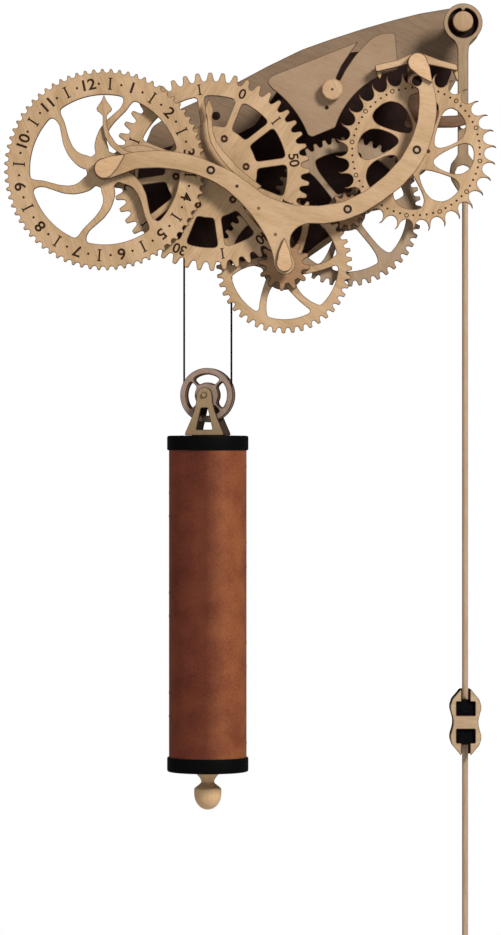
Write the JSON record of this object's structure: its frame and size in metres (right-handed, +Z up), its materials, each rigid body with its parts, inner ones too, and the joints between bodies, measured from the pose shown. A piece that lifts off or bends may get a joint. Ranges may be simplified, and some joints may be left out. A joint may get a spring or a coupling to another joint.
{
  "type": "wall clock",
  "caption": "Wall clock driven by a cord-hung weight: plywood toothed wheels between a bow-shaped front rail and a wing-shaped back plate, anchor escapement, long pendulum",
  "frame": {"origin": "on the back plate's rear face, where it meets the wall, in line with the minute arbor", "axes": "+Z up, +Y into the wall, +X to the viewer's right"},
  "size_m": [0.3982, 0.1033, 0.7856],
  "materials": {
    "pale_plywood": "pale birch plywood, laser cut, brown edges",
    "tan_plywood": "birch plywood in shade, brown edges",
    "dark_plywood": "stained plywood",
    "dowel_wood": "turned hardwood dowel",
    "kraft_board": "spirally wound brown kraft paper board",
    "cap_plastic": "black, slightly glossy",
    "cord": "black braided",
    "ballast_metal": "bare",
    "bob_metal": "black"
  },
  "bodies": {
    "frame": {"back_plate": "dark_plywood", "front_frame": "pale_plywood", "upper_plate": "tan_plywood", "hanging_peg": "pale_plywood", "upper_plate_post": "pale_plywood", "cap_left": "pale_plywood", "cap_middle": "pale_plywood", "cap_right": "pale_plywood", "hour_pointer": "pale_plywood", "minute_pointer": "tan_plywood", "hour_arbor": "dowel_wood", "minute_arbor": "dowel_wood", "lower_arbor": "dowel_wood", "third_arbor": "dowel_wood", "escape_arbor": "dowel_wood", "pendulum_dowel": "dowel_wood", "cord_peg": "dowel_wood", "cord_running": "cord", "cord_fixed": "cord"},
    "hour": {"hour_wheel": "pale_plywood"},
    "minute": {"minute_wheel": "pale_plywood", "hour_pinion": "tan_plywood", "drive_cage": "tan_plywood", "click_pin": "pale_plywood"},
    "click": {"click": "pale_plywood"},
    "lower": {"lower_wheel": "pale_plywood", "lower_pinion": "tan_plywood"},
    "third": {"third_wheel": "tan_plywood", "third_pinion": "tan_plywood"},
    "escape": {"escape_wheel": "pale_plywood", "escape_pinion": "tan_plywood", "escape_collar": "tan_plywood"},
    "anchor": {"anchor": "pale_plywood", "entry_pallet": "pale_plywood", "exit_pallet": "pale_plywood", "pallet_arbor": "dowel_wood", "crutch": "tan_plywood"},
    "pendulum": {"pendulum_hanger": "tan_plywood", "pendulum_rod": "dowel_wood", "bob_front": "pale_plywood", "bob_back": "tan_plywood", "bob_left_cheek": "tan_plywood", "bob_right_cheek": "tan_plywood", "bob_upper_weight": "bob_metal", "bob_lower_weight": "bob_metal"},
    "drum": {"ratchet_wheel": "tan_plywood", "drum_core": "pale_plywood", "drum_flange": "tan_plywood", "wound_cord": "cord"},
    "weight": {"bracket_front": "pale_plywood", "bracket_back": "pale_plywood", "pulley_axle": "dowel_wood", "weight_top_cap": "cap_plastic", "weight_bottom_cap": "cap_plastic", "weight_tube": "kraft_board", "ballast": "ballast_metal", "finial": "dowel_wood", "cord_loop": "cord"},
    "pulley": {"pulley": "pale_plywood"}
  },
  "joints": [
    {"name": "minute_spin", "type": "hinge", "parent": "frame", "child": "minute", "pos_m": [0, -0.08, 0], "axis": [0, -1, 0], "continuous": true},
    {"name": "hour_spin", "type": "hinge", "parent": "frame", "child": "hour", "pos_m": [-0.08579, -0.08, 0.0012], "axis": [0, -1, 0], "continuous": true},
    {"name": "lower_spin", "type": "hinge", "parent": "frame", "child": "lower", "pos_m": [0.05937, -0.08, -0.07544], "axis": [0, -1, 0], "continuous": true},
    {"name": "third_spin", "type": "hinge", "parent": "frame", "child": "third", "pos_m": [0.11028, -0.08, -0.03149], "axis": [0, -1, 0], "continuous": true},
    {"name": "escape_spin", "type": "hinge", "parent": "frame", "child": "escape", "pos_m": [0.16609, -0.08, 0.01634], "axis": [0, -1, 0], "continuous": true},
    {"name": "click_lift", "type": "hinge", "parent": "minute", "child": "click", "pos_m": [-0.02563, -0.057, 0.0148], "axis": [0, -1, 0], "range_deg": [0, 12], "stiffness_Nm_per_rad": 0.002},
    {"name": "pendulum_swing", "type": "hinge", "parent": "frame", "child": "pendulum", "pos_m": [0.2063, -0.0435, 0.1352], "axis": [0, -1, 0], "range_deg": [-2.5, 2.5]},
    {"name": "anchor_rock", "type": "hinge", "parent": "frame", "child": "anchor", "pos_m": [0.1666, -0.05, 0.0866], "axis": [0, -1, 0], "range_deg": [-5.5, 5.5]},
    {"name": "weight_travel", "type": "slide", "parent": "frame", "child": "weight", "axis": [0, 0, 1], "range_m": [-0.2592, 0.0605], "deforming": ["cord_running", "cord_fixed"]},
    {"name": "pulley_spin", "type": "hinge", "parent": "weight", "child": "pulley", "pos_m": [-0.0031, -0.04, -0.1803], "axis": [-0.2419, -0.9703, 0], "range_deg": [-745, 175]},
    {"name": "drum_wind", "type": "hinge", "parent": "frame", "child": "drum", "pos_m": [0, -0.045, 0], "axis": [0, -1, 0], "range_deg": [-1815, 425]}
  ],
  "couplings": [
    {"joint": "hour_spin", "follows": "minute_spin", "ratio": -0.083333},
    {"joint": "lower_spin", "follows": "minute_spin", "ratio": -4},
    {"joint": "third_spin", "follows": "minute_spin", "ratio": 15},
    {"joint": "escape_spin", "follows": "minute_spin", "ratio": -60},
    {"joint": "anchor_rock", "follows": "pendulum_swing", "ratio": 2.1711},
    {"joint": "drum_wind", "follows": "weight_travel", "rad_per_m": 121.95},
    {"joint": "pulley_spin", "follows": "weight_travel", "rad_per_m": 49.875}
  ]
}
